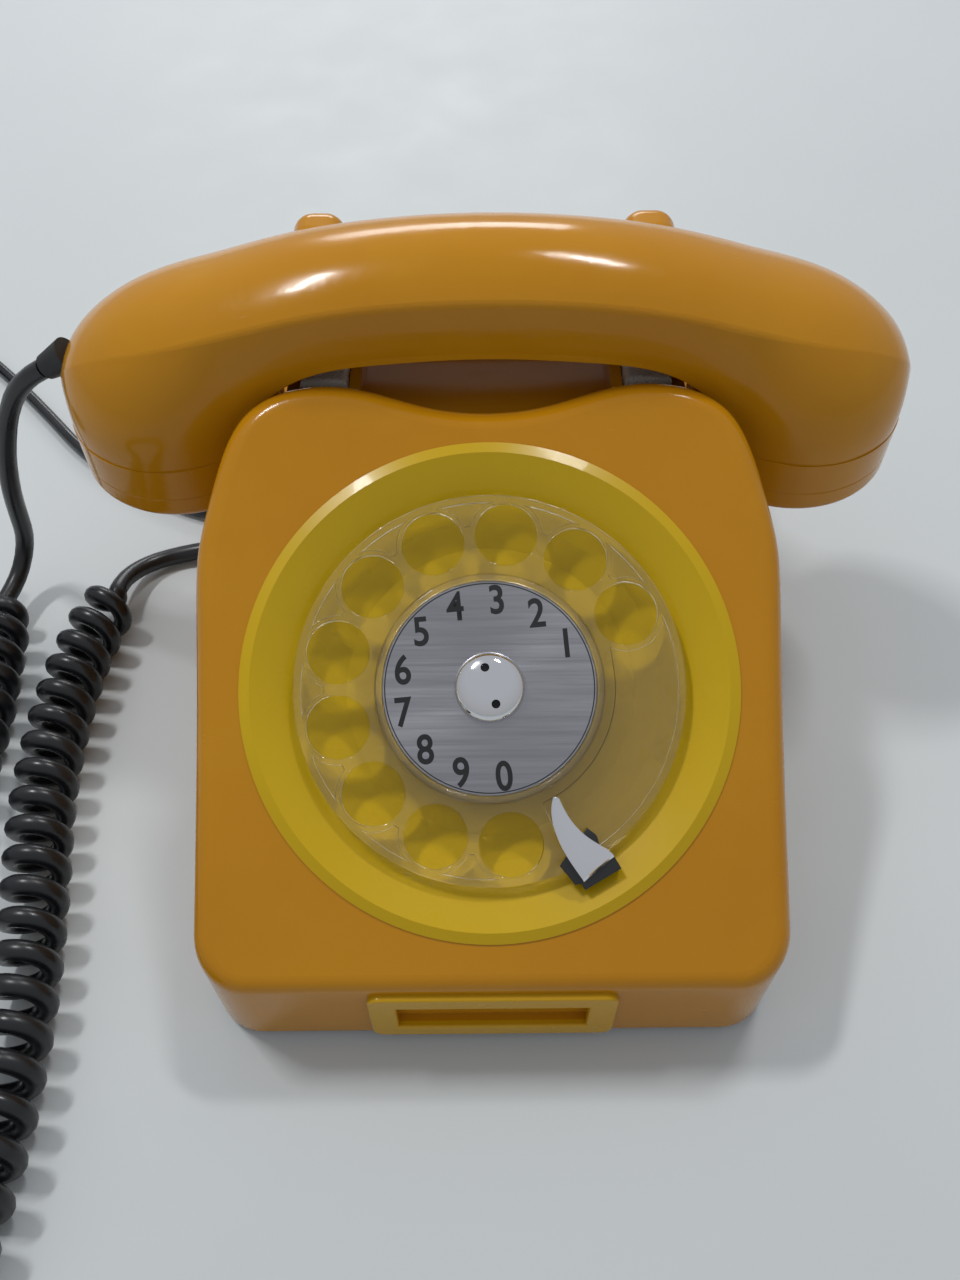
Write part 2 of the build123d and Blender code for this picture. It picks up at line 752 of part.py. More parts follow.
clapper_pivot_y = gong_y - 40.0
clapper_z = gong_low + 2.0
ball_radius = 2.8
with BuildPart() as clapper:
    with Locations((0, clapper_pivot_y, clapper_z)):
        Cylinder(3.0, 4.0)
        Cylinder(1.2, 4.0, mode=Mode.SUBTRACT)
    with BuildSketch(Plane(origin=(0, clapper_pivot_y + 2.4, clapper_z), x_dir=(1, 0, 0), z_dir=(0, 1, 0))):
        Circle(0.8)
    extrude(amount=gong_y - clapper_pivot_y - 2.4)
    with Locations((0, gong_y, clapper_z)):
        Sphere(ball_radius)
save(clapper.part, "clapper")

with BuildPart() as clapper_pin:
    with Locations((0, clapper_pivot_y, base_top)):
        Cylinder(1.1, clapper_z + 3.0 - base_top, align=(Align.CENTER, Align.CENTER, Align.MIN))
        Cylinder(2.6, clapper_z - 2.2 - base_top, align=(Align.CENTER, Align.CENTER, Align.MIN))
save(clapper_pin.part, "clapper_pin")

with BuildPart() as ringer_coils:
    for side in (-1, 1):
        with BuildSketch(Plane.XY.offset(base_top)):
            with Locations((side * 13.0, clapper_pivot_y)):
                Circle(7.0)
        extrude(amount=19.0)
save(ringer_coils.part, "ringer_coils")

board_y = front_y + 50.0
board_low = base_top + 4.0
with BuildPart() as board_pillars:
    for x in (-40.0, 40.0):
        for y in (board_y - 20.0, board_y + 20.0):
            with Locations((x, y, base_top)):
                Cylinder(2.5, board_low - base_top, align=(Align.CENTER, Align.CENTER, Align.MIN))
save(board_pillars.part, "board_pillars")

with BuildPart() as circuit_board:
    with BuildSketch(Plane.XY.offset(board_low)):
        with Locations((0, board_y)):
            RectangleRounded(90.0, 50.0, 3.0)
    extrude(amount=1.6)
save(circuit_board.part, "circuit_board")

board_top = board_low + 1.6
with BuildPart() as speech_coil:
    with Locations((24.0, board_y + 6.0, board_top)):
        Box(20.0, 18.0, 14.0, align=(Align.CENTER, Align.CENTER, Align.MIN))
    fillet(speech_coil.edges().filter_by(Axis.Z), 2.0)
save(speech_coil.part, "speech_coil")

with BuildPart() as capacitor:
    with Locations((-22.0, board_y + 8.0, board_top)):
        Box(26.0, 12.0, 11.0, align=(Align.CENTER, Align.CENTER, Align.MIN))
save(capacitor.part, "capacitor")

with BuildPart() as terminal_strip:
    with Locations((0, board_y - 18.0, board_top)):
        Box(60.0, 8.0, 7.0, align=(Align.CENTER, Align.CENTER, Align.MIN))
    with Locations((0, board_y - 18.0, board_top + 7.0)):
        with GridLocations(10.0, 1.0, 6, 1):
            Cylinder(2.0, 1.5, align=(Align.CENTER, Align.CENTER, Align.MIN))
save(terminal_strip.part, "terminal_strip")

# =====================================================================
# Cords
# =====================================================================
lead_diameter = 2 * lead_radius
coil_diameter = 17.5  # of the curly cord, outside
line_diameter = 4.0
side_wall_x = case_rear_half_width


def cord_tube(route, diameter, name):
    """A round cord along straight runs joined by arcs as large as their runs allow."""
    points = [Vector(*p) for p in route]
    runs = [b - a for a, b in zip(points, points[1:])]
    radii = []
    for before, after in zip(runs, runs[1:]):
        half_turn = radians(before.get_angle(after)) / 2
        radii.append(0.45 * min(before.length, after.length) / tan(half_turn))
    print(name, "runs", [round(r.length) for r in runs], "radii", [round(r) for r in radii])
    with BuildPart() as tube:
        with BuildLine() as path:
            FilletPolyline(*points, radius=radii)
        with BuildSketch(Plane(origin=points[0], z_dir=runs[0])):
            Circle(diameter / 2)
        sweep()
    length = sum(edge.length for edge in path.edges())
    share = tube.part.volume / (pi * (diameter / 2) ** 2 * length)
    print(f"  {length:.0f} mm long, volume {share:.3f} of its section times its length")
    save(tube.part, name)


# glands in the case's left wall
for y, z, radius, name in (
    (cord_exit_y, cord_exit_z, gland_radius, "handset_cord_gland"),
    (line_exit_y, cord_exit_z, line_gland_radius, "line_cord_gland"),
):
    with BuildPart() as gland:
        with Locations(Plane(origin=(-side_wall_x, y, z), x_dir=(0, 1, 0), z_dir=(-1, 0, 0))):
            Cylinder(radius, 3.0, align=(Align.CENTER, Align.CENTER, Align.MIN))
        fillet(gland.faces().sort_by(Axis.X)[0].edges(), 1.0)
    save(gland.part, name)

coil_z = coil_diameter / 2
lead_z = lead_radius + 0.1
handset_lead = [
    grommet_root + grommet_dir * (grommet_length + 0.8),
    (-cap_x - 37.3, 42.8, 82.8),
    (-cap_x - 45.1, 44.0, 73.0),
    (-cap_x - 51.9, 44.6, 57.0),
    (-133.4, 45.0, 42.0),
    (-135.5, 46.0, 30.0),
    (-137.5, 47.5, 18.0),
    (-140.5, 41.0, 9.5),
    (-143.0, 30.0, coil_z),
]
curly = [
    (-143.0, 30.0, coil_z),
    (-141.0, 10.0, coil_z),
    (-138.5, -14.0, coil_z),
    (-140.0, -44.0, coil_z),
    (-160.0, -72.0, coil_z),
    (-194.0, -88.0, coil_z),
    (-222.0, -115.0, coil_z),
    (-229.0, -152.0, coil_z),
    (-210.0, -186.0, coil_z),
    (-174.0, -200.0, coil_z),
    (-137.0, -190.0, coil_z),
    (-113.0, -160.0, coil_z),
    (-108.0, -126.0, coil_z),
    (-108.5, -94.0, coil_z),
    (-112.0, -64.0, coil_z),
    (-117.0, -34.0, coil_z),
    (-117.5, -4.0, coil_z),
    (-115.0, 18.0, coil_z),
    (-110.5, 34.0, coil_z),
]
case_lead = [
    (-110.5, 34.0, coil_z),
    (-109.5, 42.0, 6.4),
    (-104.0, 50.0, 3.6),
    (-94.0, 54.5, lead_z),
    (-80.0, 55.5, 4.5),
    (-side_wall_x - 3.0, cord_exit_y, cord_exit_z),
]
line_z = line_diameter / 2 + 0.1
line_coil_centre = (-216.0, 145.0)
line_coil_radius = 22.0  # at the middle of the turns
line_coil_half = 8.0
line_coil_height = 12.0
line_cord = [
    (-side_wall_x - 3.0, line_exit_y, cord_exit_z),
    (-76.0, line_exit_y + 1.5, 4.0),
    (-94.0, 72.5, line_z),
    (-115.0, 84.0, line_z),
    (-136.0, 100.5, line_z),
    (-154.0, 122.0, line_z),
    (-176.0, 146.0, line_z),
    (-195.0, 161.0, line_z),
]
cord_tube(handset_lead, lead_diameter, "handset_lead")
cord_tube(curly, coil_diameter, "curly_cord")
cord_tube(case_lead, lead_diameter, "case_lead")
cord_tube(line_cord, line_diameter, "line_cord")

# the rest of the line cord, wound into a neat coil, and the tail that leads from it to the plug
with BuildPart() as line_cord_coil:
    with BuildSketch():
        with Locations(line_coil_centre):
            Circle(line_coil_radius + line_coil_half)
            Circle(line_coil_radius - line_coil_half, mode=Mode.SUBTRACT)
    extrude(amount=line_coil_height)
save(line_cord_coil.part, "line_cord_coil")

plug_length = 30.0
plug_width = 22.0
plug_height = 14.0
plug_z = plug_height / 2
pin_length = 9.0
relief_length = 20.0
tail_x = line_coil_centre[0] - line_coil_radius
tail_y = line_coil_centre[1] - 19.0
relief_end_y = tail_y - 28.0
plug_back_y = relief_end_y - relief_length
tail = [
    (tail_x, tail_y, line_z),
    (tail_x - 1.5, tail_y - 9.0, line_z + 0.6),
    (tail_x - 1.2, tail_y - 18.0, 4.6),
    (tail_x, relief_end_y, plug_z),
]
cord_tube(tail, line_diameter, "line_cord_tail")

with BuildPart() as line_plug:
    with Locations((tail_x, plug_back_y - plug_length / 2, plug_z)):
        Box(plug_width, plug_length, plug_height)
    fillet(line_plug.edges().filter_by(Axis.Y), 3.0)
    with BuildSketch(Plane(origin=(tail_x, plug_back_y, plug_z), x_dir=(1, 0, 0), z_dir=(0, 1, 0))):
        Circle(4.5)
    with BuildSketch(Plane(origin=(tail_x, relief_end_y, plug_z), x_dir=(1, 0, 0), z_dir=(0, 1, 0))):
        Circle(2.8)
    loft()
    pins_plane = Plane(origin=(tail_x, plug_back_y - plug_length, plug_z), x_dir=(1, 0, 0), z_dir=(0, -1, 0))
    with BuildSketch(pins_plane):
        with GridLocations(10.0, 5.0, 2, 2):
            Rectangle(3.0, 1.2)
    extrude(amount=pin_length)
save(line_plug.part, "line_plug")
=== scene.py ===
"""Looks of a rotary desk telephone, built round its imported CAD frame.  Metres, +Z up, -Y to the front."""

import json
import math

import bmesh
import bpy
from mathutils import Matrix, Vector


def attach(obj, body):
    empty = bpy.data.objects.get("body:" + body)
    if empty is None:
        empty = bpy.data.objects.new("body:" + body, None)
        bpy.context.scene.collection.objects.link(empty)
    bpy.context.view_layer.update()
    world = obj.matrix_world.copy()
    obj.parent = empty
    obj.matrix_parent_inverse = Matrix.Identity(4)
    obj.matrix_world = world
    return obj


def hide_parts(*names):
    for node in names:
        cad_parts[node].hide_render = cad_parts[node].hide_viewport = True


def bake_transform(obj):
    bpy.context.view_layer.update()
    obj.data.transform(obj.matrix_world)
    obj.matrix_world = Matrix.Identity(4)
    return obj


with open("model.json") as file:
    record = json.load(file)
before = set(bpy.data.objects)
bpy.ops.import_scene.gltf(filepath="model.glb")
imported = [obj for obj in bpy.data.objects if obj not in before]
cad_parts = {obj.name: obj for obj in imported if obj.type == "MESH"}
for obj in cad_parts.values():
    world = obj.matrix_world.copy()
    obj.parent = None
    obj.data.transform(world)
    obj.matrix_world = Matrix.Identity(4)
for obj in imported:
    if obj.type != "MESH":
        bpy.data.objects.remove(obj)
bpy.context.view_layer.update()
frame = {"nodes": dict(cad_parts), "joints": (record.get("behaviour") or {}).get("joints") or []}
nodes = frame["nodes"]
MM = 0.001


# =====================================================================
# Camera and lights
# =====================================================================
def make_camera():
    """The photograph's view: from above and in front, looking down at the dial."""
    data = bpy.data.cameras.new("camera")
    data.lens = 30.9
    data.sensor_width = 36.0
    camera = bpy.data.objects.new("camera", data)
    camera.location = (-0.002, -0.17465, 0.2628)
    tilt = Matrix.Rotation(math.radians(90 - 53.3), 4, "X")
    roll = Matrix.Rotation(math.radians(-0.55), 4, "Z")
    camera.matrix_world = Matrix.Translation(camera.location) @ tilt @ roll
    bpy.context.scene.collection.objects.link(camera)
    bpy.context.scene.camera = camera


def add_area(name, place, aim, size, power):
    """A soft rectangular light that looks at a point."""
    data = bpy.data.lights.new(name, "AREA")
    data.shape = "RECTANGLE"
    data.size, data.size_y = size
    data.energy = power
    light = bpy.data.objects.new(name, data)
    light.location = place
    light.rotation_euler = (Vector(aim) - Vector(place)).to_track_quat("-Z", "Y").to_euler()
    bpy.context.scene.collection.objects.link(light)


def make_lights():
    """An even pale room, and three soft lamps above and behind."""
    world = bpy.data.worlds.new("studio")
    world.use_nodes = True
    tree = world.node_tree
    place = tree.nodes.new("ShaderNodeTexCoord")
    split = tree.nodes.new("ShaderNodeSeparateXYZ")
    ramp = tree.nodes.new("ShaderNodeValToRGB")
    tree.links.new(place.outputs["Generated"], split.inputs["Vector"])
    tree.links.new(split.outputs["Z"], ramp.inputs["Fac"])
    tree.links.new(ramp.outputs["Color"], tree.nodes["Background"].inputs["Color"])
    ramp.color_ramp.elements[0].position = 0.05
    ramp.color_ramp.elements[0].color = (0.40, 0.405, 0.415, 1.0)
    ramp.color_ramp.elements[1].position = 0.75
    ramp.color_ramp.elements[1].color = (0.47, 0.49, 0.52, 1.0)
    tree.nodes["Background"].inputs["Strength"].default_value = 0.95
    bpy.context.scene.world = world
    bpy.context.scene.view_settings.view_transform = "Standard"
    add_area("ceiling_left", (-0.75, 0.45, 1.6), (0.0, 0.0, 0.05), (0.32, 0.12), 10.5)
    add_area("ceiling_right", (0.45, 0.75, 1.7), (0.0, 0.0, 0.05), (0.36, 0.12), 7.5)
    add_area("back_lamp", (-0.1, 1.4, 0.62), (0.0, 0.0, 0.08), (0.7, 0.25), 4.0)


# =====================================================================
# Materials
# =====================================================================
class Finish:
    """A material with its node tree, and short calls that add to it."""

    def __init__(self, name, color, roughness, **sockets):
        self.material = bpy.data.materials.new(name)
        self.material.use_nodes = True
        self.tree = self.material.node_tree
        self.shader = self.tree.nodes["Principled BSDF"]
        self.shader.inputs["Base Color"].default_value = (*color, 1.0)
        self.shader.inputs["Roughness"].default_value = roughness
        for socket, value in sockets.items():
            self.shader.inputs[socket.replace("_", " ")].default_value = value
        self.place = self.tree.nodes.new("ShaderNodeTexCoord").outputs["Object"]
        self.height = None

    def link(self, start, end):
        self.tree.links.new(start, end)

    def stretched(self, scale, turn=(0.0, 0.0, 0.0)):
        """Object coordinates scaled along each axis."""
        mapping = self.tree.nodes.new("ShaderNodeMapping")
        mapping.inputs["Scale"].default_value = scale
        mapping.inputs["Rotation"].default_value = turn
        self.link(self.place, mapping.inputs["Vector"])
        return mapping.outputs["Vector"]

    def noise(self, scale, detail=3.0, roughness=0.55, vector=None):
        node = self.tree.nodes.new("ShaderNodeTexNoise")
        node.inputs["Scale"].default_value = scale
        node.inputs["Detail"].default_value = detail
        node.inputs["Roughness"].default_value = roughness
        self.link(vector or self.place, node.inputs["Vector"])
        return node.outputs["Fac"]

    def cells(self, scale, vector=None):
        node = self.tree.nodes.new("ShaderNodeTexVoronoi")
        node.inputs["Scale"].default_value = scale
        self.link(vector or self.place, node.inputs["Vector"])
        return node.outputs["Distance"]

    def spread(self, value, low, high, to_low=0.0, to_high=1.0):
        """value from low..high to to_low..to_high, clamped."""
        node = self.tree.nodes.new("ShaderNodeMapRange")
        node.inputs["From Min"].default_value = low
        node.inputs["From Max"].default_value = high
        node.inputs["To Min"].default_value = to_low
        node.inputs["To Max"].default_value = to_high
        self.link(value, node.inputs["Value"])
        return node.outputs["Result"]

    def maths(self, operation, a, b):
        node = self.tree.nodes.new("ShaderNodeMath")
        node.operation = operation
        for socket, value in zip(node.inputs, (a, b)):
            if isinstance(value, (int, float)):
                socket.default_value = value
            else:
                self.link(value, socket)
        return node.outputs["Value"]

    def tint(self, share, color):
        """Blend the base colour towards another by share."""
        node = self.tree.nodes.new("ShaderNodeMix")
        node.data_type = "RGBA"
        base = self.shader.inputs["Base Color"]
        if base.is_linked:
            self.link(base.links[0].from_socket, node.inputs["A"])
        else:
            node.inputs["A"].default_value = base.default_value
        node.inputs["B"].default_value = (*color, 1.0)
        self.link(share, node.inputs["Factor"])
        self.link(node.outputs["Result"], base)
        return self

    def rough(self, value):
        self.link(value, self.shader.inputs["Roughness"])
        return self

    def bump(self, value, strength, distance=0.0002):
        node = self.tree.nodes.new("ShaderNodeBump")
        node.inputs["Strength"].default_value = strength
        node.inputs["Distance"].default_value = distance
        self.link(value, node.inputs["Height"])
        if self.height is not None:
            self.link(self.height, node.inputs["Normal"])
        self.height = node.outputs["Normal"]
        self.link(self.height, self.shader.inputs["Normal"])
        return self


def glossy_plastic(name, color, deep, pale, roughness=0.17):
    """Old moulded plastic: uneven colour, fine handling scratches, a few dark nicks and dull smears."""
    finish = Finish(
        name, color, roughness, IOR=1.42, Specular_IOR_Level=0.34, Coat_Weight=0.1, Coat_Roughness=0.05
    )
    broad = finish.noise(9.0, 4.0)
    finish.tint(finish.spread(broad, 0.42, 0.72, 0.0, 0.45), deep)
    finish.tint(finish.spread(finish.noise(34.0, 5.0), 0.5, 0.75, 0.0, 0.22), pale)
    nicks = finish.spread(finish.cells(46.0), 0.045, 0.03)
    where = finish.spread(finish.noise(21.0, 1.0), 0.58, 0.64)
    marks = finish.maths("MULTIPLY", nicks, where)
    finish.tint(finish.maths("MULTIPLY", marks, 0.75), (0.10, 0.045, 0.01))
    scratches = finish.noise(300.0, 2.0, 0.6, finish.stretched((0.18, 1.0, 1.0), (0.0, 0.0, 0.5)))
    fine = finish.spread(scratches, 0.66, 0.72)
    smears = finish.spread(finish.noise(15.0, 5.0, 0.65), 0.4, 0.7, roughness - 0.05, roughness + 0.09)
    finish.rough(finish.maths("ADD", smears, finish.maths("MULTIPLY", fine, 0.1)))
    finish.bump(finish.noise(420.0, 2.0), 0.025)
    finish.bump(finish.noise(55.0, 1.0), 0.05, 0.0004)
    finish.bump(finish.maths("ADD", marks, fine), -0.06)
    return finish.material


def clear_acrylic():
    """The scuffed clear plastic of the finger wheel."""
    finish = Finish("clear_acrylic", (1.0, 0.985, 0.90), 0.04, IOR=1.49, Transmission_Weight=1.0)
    worn = finish.noise(240.0, 3.0, 0.6, finish.stretched((1.0, 0.25, 1.0)))
    smears = finish.spread(finish.noise(60.0, 4.0), 0.45, 0.75, 0.03, 0.11)
    finish.rough(finish.maths("ADD", smears, finish.spread(worn, 0.62, 0.7, 0.0, 0.08)))
    finish.bump(finish.noise(35.0, 1.0), 0.12, 0.0003)
    return finish.material


def frosted_acrylic():
    """The worn clear blocks under the handset."""
    finish = Finish("frosted_acrylic", (0.80, 0.77, 0.68), 0.28, IOR=1.49, Transmission_Weight=0.35)
    finish.tint(finish.spread(finish.noise(180.0, 3.0), 0.4, 0.7, 0.0, 0.6), (0.90, 0.88, 0.82))
    finish.rough(finish.spread(finish.noise(320.0, 3.0), 0.4, 0.7, 0.18, 0.42))
    finish.bump(finish.noise(600.0, 2.0), 0.06)
    return finish.material


def brushed_metal():
    """Satin aluminium brushed from side to side."""
    finish = Finish("brushed_aluminium", (0.34, 0.335, 0.355), 0.38, Metallic=1.0, Anisotropic=0.5)
    lines = finish.noise(420.0, 4.0, 0.7, finish.stretched((0.06, 2.6, 2.6)))
    finish.tint(finish.spread(lines, 0.35, 0.7, 0.0, 0.6), (0.47, 0.465, 0.49))
    finish.tint(finish.spread(finish.noise(90.0, 3.0), 0.66, 0.74, 0.0, 0.25), (0.45, 0.44, 0.45))
    finish.rough(finish.spread(lines, 0.3, 0.7, 0.28, 0.46))
    finish.bump(lines, 0.18, 0.00006)
    return finish.material


def chrome():
    """Chrome plate with faint smears."""
    finish = Finish("chrome", (0.80, 0.80, 0.82), 0.07, Metallic=1.0)
    finish.rough(finish.spread(finish.noise(160.0, 4.0), 0.45, 0.75, 0.05, 0.17))
    finish.bump(finish.noise(800.0, 2.0), 0.02, 0.00005)
    return finish.material


def plain_metal(name, color, roughness):
    """Pressed or turned metal of the works inside."""
    finish = Finish(name, color, roughness, Metallic=1.0)
    finish.tint(finish.spread(finish.noise(120.0, 4.0), 0.45, 0.75, 0.0, 0.4), tuple(0.7 * c for c in color))
    grain = finish.noise(700.0, 3.0, 0.6, finish.stretched((1.0, 0.15, 1.0)))
    finish.rough(finish.spread(grain, 0.3, 0.7, roughness - 0.08, roughness + 0.1))
    finish.bump(grain, 0.1, 0.00005)
    return finish.material


def dull_plastic(name, color, roughness, pale):
    """Dark moulded plastic or rubber with a fine grain and pale dust in places."""
    finish = Finish(name, color, roughness, IOR=1.5)
    finish.tint(finish.spread(finish.noise(45.0, 5.0), 0.5, 0.8, 0.0, 0.3), pale)
    finish.rough(finish.spread(finish.noise(90.0, 4.0), 0.35, 0.7, roughness - 0.08, roughness + 0.12))
    finish.bump(finish.noise(900.0, 2.0), 0.08, 0.00008)
    finish.bump(finish.noise(160.0, 2.0), 0.04, 0.0002)
    return finish.material


def circuit_material():
    """Brown laminate with paler tracks."""
    finish = Finish("circuit_laminate", (0.20, 0.10, 0.03), 0.45)
    tracks = finish.spread(finish.cells(160.0), 0.30, 0.34)
    finish.tint(tracks, (0.42, 0.20, 0.05))
    finish.bump(tracks, 0.2, 0.00005)
    return finish.material


MUSTARD = (0.50, 0.215, 0.004)
PALE_MUSTARD = (0.58, 0.29, 0.012)
CASE = glossy_plastic("mustard_plastic", MUSTARD, (0.40, 0.150, 0.002), PALE_MUSTARD)
HANDSET = glossy_plastic("mustard_handset", MUSTARD, (0.40, 0.145, 0.002), PALE_MUSTARD, 0.18)
DISH = glossy_plastic("yellow_dish", (0.56, 0.36, 0.003), (0.48, 0.29, 0.002), (0.62, 0.42, 0.010), 0.3)
HOLDER = glossy_plastic("yellow_frame", (0.56, 0.31, 0.004), (0.48, 0.24, 0.003), (0.62, 0.38, 0.012), 0.25)
CLEAR = clear_acrylic()
FROSTED = frosted_acrylic()
BRUSHED = brushed_metal()
CHROME = chrome()
CORD = dull_plastic("black_cord_pvc", (0.010, 0.011, 0.013), 0.30, (0.028, 0.030, 0.034))
RUBBER = dull_plastic("black_rubber", (0.012, 0.012, 0.013), 0.55, (0.03, 0.03, 0.03))
BLACK = dull_plastic("black_plastic", (0.014, 0.014, 0.015), 0.35, (0.035, 0.035, 0.035))
INK = dull_plastic("black_ink", (0.008, 0.008, 0.009), 0.45, (0.02, 0.02, 0.02))
STEEL = plain_metal("zinc_steel", (0.56, 0.57, 0.58), 0.4)
BRASS = plain_metal("brass", (0.72, 0.50, 0.20), 0.32)
BOARD = circuit_material()

NODE_FINISH = {
    CASE: ("case_shell",),
    HANDSET: ("handset_body", "mouth_cap", "ear_cap"),
    DISH: ("dial_bezel",),
    HOLDER: ("card_holder",),
    CLEAR: ("finger_wheel",),
    FROSTED: ("hook_plungers",),
    BRUSHED: ("number_plate",),
    CHROME: ("hub_dome", "finger_stop"),
    CORD: ("handset_lead", "curly_cord", "case_lead", "line_cord", "line_cord_coil", "line_cord_tail"),
    RUBBER: ("base_feet", "handset_grommet", "handset_cord_gland", "line_cord_gland"),
    BLACK: (
        "base_plate", "stop_pad", "line_plug", "hook_bridge", "hook_frame", "transmitter_capsule",
        "receiver_capsule", "ringer_coils", "speech_coil", "capacitor", "terminal_strip",
    ),
    STEEL: (
        "case_screws", "dial_frame", "dial_shaft", "gear_axles", "governor_cup", "return_spring",
        "gong_left", "gong_right", "gong_posts", "gong_screws", "clapper", "clapper_pin",
        "hook_springs", "board_pillars",
    ),
    BRASS: ("main_gear", "pulse_pinion", "governor_rotor", "pulse_contacts", "hook_contacts"),
    BOARD: ("circuit_board",),
}


def paint(piece, material):
    """Give every material slot of a piece one material."""
    piece.data.materials.clear()
    piece.data.materials.append(material)


for material, names in NODE_FINISH.items():
    for name in names:
        paint(nodes[name], material)


# =====================================================================
# Mesh helpers
# =====================================================================
def mesh_piece(name, mesh, material, body, crease=32.0):
    """A finished piece from a mesh, smooth but for edges sharper than crease, riding on a body."""
    for polygon in mesh.polygons:
        polygon.use_smooth = True
    work = bmesh.new()
    work.from_mesh(mesh)
    for edge in work.edges:
        if len(edge.link_faces) == 2 and edge.calc_face_angle(0.0) > math.radians(crease):
            edge.smooth = False
    work.to_mesh(mesh)
    work.free()
    piece = bpy.data.objects.new(name, mesh)
    bpy.context.scene.collection.objects.link(piece)
    paint(piece, material)
    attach(piece, body)
    return piece


def ring_mesh(name, rings):
    """A mesh skinned over closed rings of points, with open ends."""
    mesh = bpy.data.meshes.new(name)
    count = len(rings[0])
    points = [p for ring in rings for p in ring]
    faces = []
    for i in range(len(rings) - 1):
        for j in range(count):
            k = (j + 1) % count
            faces.append((i * count + j, i * count + k, (i + 1) * count + k, (i + 1) * count + j))
    mesh.from_pydata([tuple(p) for p in points], [], faces)
    mesh.update()
    return mesh


def welded(mesh, distance):
    """The mesh with its coincident points joined and its faces turned outwards."""
    work = bmesh.new()
    work.from_mesh(mesh)
    bmesh.ops.remove_doubles(work, verts=work.verts, dist=distance)
    bmesh.ops.recalc_face_normals(work, faces=work.faces)
    work.to_mesh(mesh)
    work.free()
    return mesh


def revolved(name, profile, placing, segments=160):
    """A closed profile of (radius, height) turned about placing's Z axis."""
    rings = []
    for j in range(segments):
        turn = 2 * math.pi * j / segments
        rings.append([placing @ Vector((r * math.cos(turn), r * math.sin(turn), z)) for r, z in profile])
    rings.append(rings[0])
    return welded(ring_mesh(name, rings), 1e-6)


def filled(name, loops, thickness, edge, low, placing):
    """A flat plate cut from closed loops of (x, y), the outer first, with rounded edges."""
    data = bpy.data.curves.new(name, "CURVE")
    data.dimensions = "2D"
    data.fill_mode = "BOTH"
    data.extrude = thickness / 2 - edge
    data.bevel_depth = edge
    data.bevel_resolution = 2
    data.offset = -edge
    for loop in loops:
        spline = data.splines.new("POLY")
        spline.points.add(len(loop) - 1)
        for point, (x, y) in zip(spline.points, loop):
            point.co = (x, y, 0.0, 1.0)
        spline.use_cyclic_u = True
    holder = bpy.data.objects.new(name, data)
    bpy.context.scene.collection.objects.link(holder)
    bpy.context.view_layer.update()
    mesh = bpy.data.meshes.new_from_object(holder)
    bpy.data.objects.remove(holder)
    mesh.transform(placing @ Matrix.Translation((0.0, 0.0, low + thickness / 2)))
    return welded(mesh, 2e-6)


def circle(x, y, radius, count=72):
    return [
        (x + radius * math.cos(2 * math.pi * k / count), y + radius * math.sin(2 * math.pi * k / count))
        for k in range(count)
    ]


def cut(target, cutters):
    """Subtract meshes from a mesh."""
    holder = bpy.data.objects.new("target", target)
    bpy.context.scene.collection.objects.link(holder)
    tools = []
    for mesh in cutters:
        tool = bpy.data.objects.new("tool", mesh)
        bpy.context.scene.collection.objects.link(tool)
        modifier = holder.modifiers.new("cut", "BOOLEAN")
        modifier.operation = "DIFFERENCE"
        modifier.solver = "EXACT"
        modifier.object = tool
        tools.append(tool)
    bpy.context.view_layer.update()
    evaluated = holder.evaluated_get(bpy.context.evaluated_depsgraph_get())
    mesh = bpy.data.meshes.new_from_object(evaluated)
    for thing in [holder, *tools]:
        bpy.data.objects.remove(thing)
    return mesh


# =====================================================================
# Cords
# =====================================================================
def route_curve(name, points, radius=0.0, resolution=12):
    """One smooth open spline with these control points."""
    data = bpy.data.curves.new(name, "CURVE")
    data.dimensions = "3D"
    data.bevel_depth = radius
    data.bevel_resolution = 4
    data.use_fill_caps = True
    data.resolution_u = resolution
    spline = data.splines.new("NURBS")
    spline.points.add(len(points) - 1)
    for point, place in zip(spline.points, points):
        point.co = (*place, 1.0)
    spline.order_u = 3
    spline.use_endpoint_u = True
    piece = bpy.data.objects.new(name, data)
    bpy.context.scene.collection.objects.link(piece)
    return piece


def read_line(points, resolution=12):
    """The places along the smooth spline of a route."""
    guide = route_curve("guide", points, resolution=resolution)
    bpy.context.view_layer.update()
    mesh = bpy.data.meshes.new_from_object(guide)
    line = [v.co.copy() for v in mesh.vertices]
    bpy.data.objects.remove(guide)
    return line


def arc_lengths(line):
    total = [0.0]
    for a, b in zip(line, line[1:]):
        total.append(total[-1] + (b - a).length)
    return total


def helix_points(route, coil_radius, pitch, per_turn=12):
    """Control points of a helix wound about a route's spline, opening out of its middle at both ends."""
    line = read_line(route)
    lengths = arc_lengths(line)
    whole = lengths[-1]
    turns = round(whole / pitch)
    count = turns * per_turn
    step = 0
    points = []
    for k in range(count + 1):
        along = whole * k / count
        while step < len(line) - 2 and lengths[step + 1] < along:
            step += 1
        share = (along - lengths[step]) / (lengths[step + 1] - lengths[step])
        middle = line[step].lerp(line[step + 1], share)
        ahead = (line[step + 1] - line[step]).normalized()
        side = ahead.cross(Vector((0, 0, 1))).normalized()
        up = side.cross(ahead)
        turn = 2 * math.pi * k / per_turn
        opening = min(1.0, along / (0.9 * pitch), (whole - along) / (0.9 * pitch))
        reach = coil_radius * math.sin(opening * math.pi / 2)
        points.append(middle + (side * math.cos(turn) + up * math.sin(turn)) * reach)
    return points


